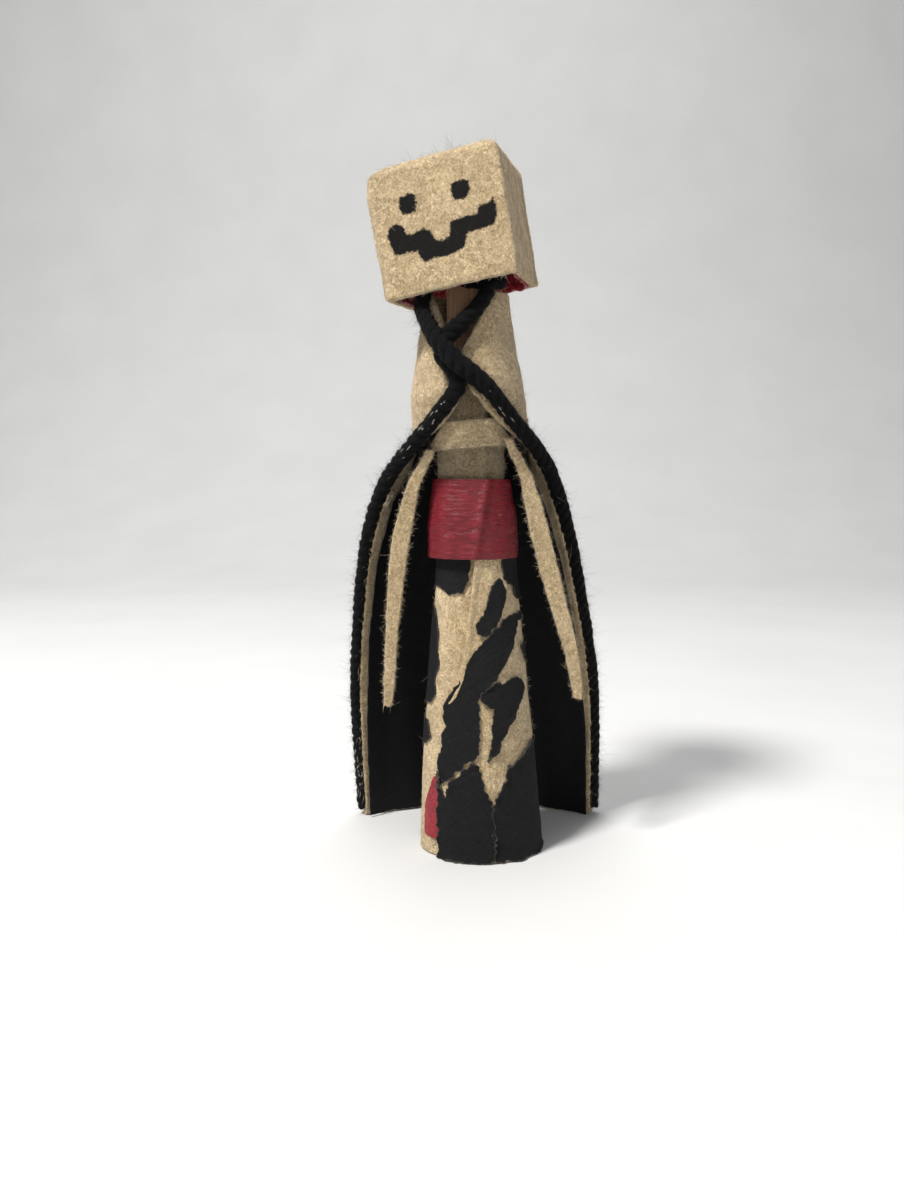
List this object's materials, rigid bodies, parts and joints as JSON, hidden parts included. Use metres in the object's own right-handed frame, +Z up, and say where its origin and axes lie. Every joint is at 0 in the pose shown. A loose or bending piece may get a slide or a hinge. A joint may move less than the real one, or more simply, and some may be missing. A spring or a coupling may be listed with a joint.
{
  "type": "craft stick puppet",
  "caption": "Standing felt figure on a wooden craft stick: hollow cube head with a drawn smile, strip arms, taped skirt and a lined cloak edged with yarn.",
  "frame": {"origin": "middle of the object's footprint on the surface it stands on", "axes": "+Z up, -Y is the side the face and the open cloak look to, +X to the viewer's right"},
  "size_m": [0.0542, 0.0369, 0.1322],
  "materials": {
    "tan_felt": "matte fuzzy craft felt",
    "black_tape": "matte black cloth tape",
    "red_tape": "semi-gloss crinkled red cloth tape",
    "black_yarn": "fuzzy plied yarn",
    "birch_stick": "raw smooth wood",
    "hot_glue": "translucent hot glue",
    "marker_ink": "marker ink soaked into felt"
  },
  "bodies": {
    "root": {"spine_stick": "birch_stick", "torso_wrap": "tan_felt", "chest_band": "tan_felt", "waist_sash": "red_tape", "skirt_felt": "tan_felt", "skirt_lining": "red_tape", "skirt_edge_tape": "red_tape", "cloak_yoke": "tan_felt", "cloak_back": "tan_felt", "cloak_back_lining": "black_tape", "throat_cord_left": "black_yarn", "throat_cord_right": "black_yarn", "patch_back_high": "black_tape", "patch_back_low": "black_tape", "patch_diagonal": "black_tape", "patch_edge_left": "black_tape", "patch_hem_left": "black_tape", "patch_hem_right": "black_tape", "patch_long_leaf": "black_tape", "patch_side_chip": "black_tape", "patch_side_left": "black_tape", "patch_two_lobed": "black_tape", "patch_waist_left": "black_tape", "patch_waist_right": "black_tape"},
    "head_seat": {"head_wad": "tan_felt"},
    "head": {"head_front": "tan_felt", "head_back": "tan_felt", "head_left_side": "tan_felt", "head_right_side": "tan_felt", "head_top": "tan_felt", "head_lining": "red_tape", "crown_patch": "black_tape", "left_eye": "marker_ink", "right_eye": "marker_ink", "mouth": "marker_ink", "head_glue_bead": "hot_glue"},
    "left_arm_strip": {"left_arm": "tan_felt"},
    "right_arm_strip": {"right_arm": "tan_felt"},
    "cloak_left": {"cloak_left_flap": "tan_felt", "cloak_left_flap_lining": "black_tape", "edge_cord_left": "black_yarn", "edge_glue_blob": "hot_glue"},
    "cloak_right": {"cloak_right_flap": "tan_felt", "cloak_right_flap_lining": "black_tape", "edge_cord_right": "black_yarn"}
  },
  "joints": [
    {"name": "head_turn", "type": "hinge", "parent": "root", "child": "head_seat", "pos_m": [-0.0014, -0.0058, 0.123], "axis": [0, 0, 1], "range_deg": [-6, 12]},
    {"name": "head_tilt", "type": "hinge", "parent": "head_seat", "child": "head", "pos_m": [-0.0014, -0.0058, 0.126], "axis": [0.2549, 0.9647, 0.0663], "range_deg": [-5, 5]},
    {"name": "left_arm_swing", "type": "hinge", "parent": "root", "child": "left_arm_strip", "pos_m": [-0.0086, -0.01, 0.0778], "axis": [-1, 0, 0], "range_deg": [-5, 85]},
    {"name": "right_arm_swing", "type": "hinge", "parent": "root", "child": "right_arm_strip", "pos_m": [0.0044, -0.0114, 0.0798], "axis": [-1, 0, 0], "range_deg": [-5, 85]},
    {"name": "cloak_left_open", "type": "hinge", "parent": "root", "child": "cloak_left", "pos_m": [-0.0129, 0.0158, 0], "axis": [0, 0.1275, -0.9918], "range_deg": [-8, 20]},
    {"name": "cloak_right_open", "type": "hinge", "parent": "root", "child": "cloak_right", "pos_m": [0.0101, 0.0166, 0], "axis": [0, -0.147, 0.9891], "range_deg": [-8, 20]}
  ]
}
